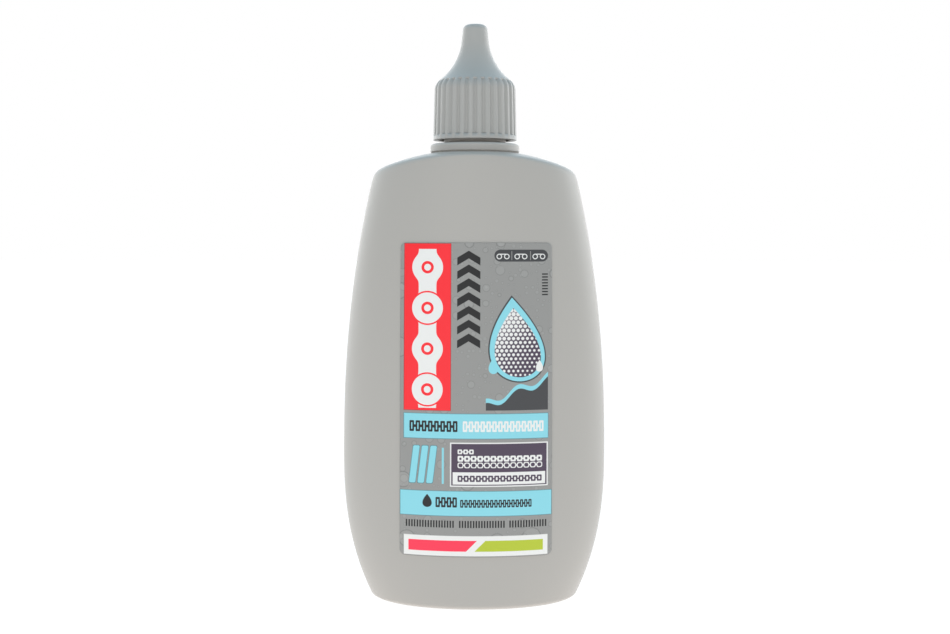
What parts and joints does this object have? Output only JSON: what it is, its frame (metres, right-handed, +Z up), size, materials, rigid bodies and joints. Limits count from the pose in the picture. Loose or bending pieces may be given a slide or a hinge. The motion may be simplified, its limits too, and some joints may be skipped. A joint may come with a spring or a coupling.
{
  "type": "chain lube bottle",
  "caption": "Oval squeeze bottle for chain lube, with a pressed-in dropper nozzle, a fluted screw cap with a long hollow tip, and a film label on its front.",
  "frame": {"origin": "centre of the footprint, on the surface that the bottle stands on", "axes": "+Z up, X along the width, and the labelled front faces -Y"},
  "size_m": [0.0612, 0.032, 0.1345],
  "materials": {
    "bottle_plastic": "satin blow-moulded polyethylene, warm light grey",
    "nozzle_plastic": "natural soft polyethylene, milky white",
    "cap_plastic": "satin injection-moulded plastic, light grey",
    "label_film": "satin printed film, mid grey under fields of red, cyan, white, green and plum ink",
    "lube_fill": "amber oil"
  },
  "bodies": {
    "body": {"bottle": "bottle_plastic", "nozzle_insert": "nozzle_plastic", "label": "label_film", "lube": "lube_fill"},
    "cap": {"cap": "cap_plastic"}
  },
  "joints": [
    {"name": "cap_lift", "type": "slide", "parent": "body", "child": "cap", "axis": [0, 0, 1], "range_m": [0, 0.045]}
  ]
}
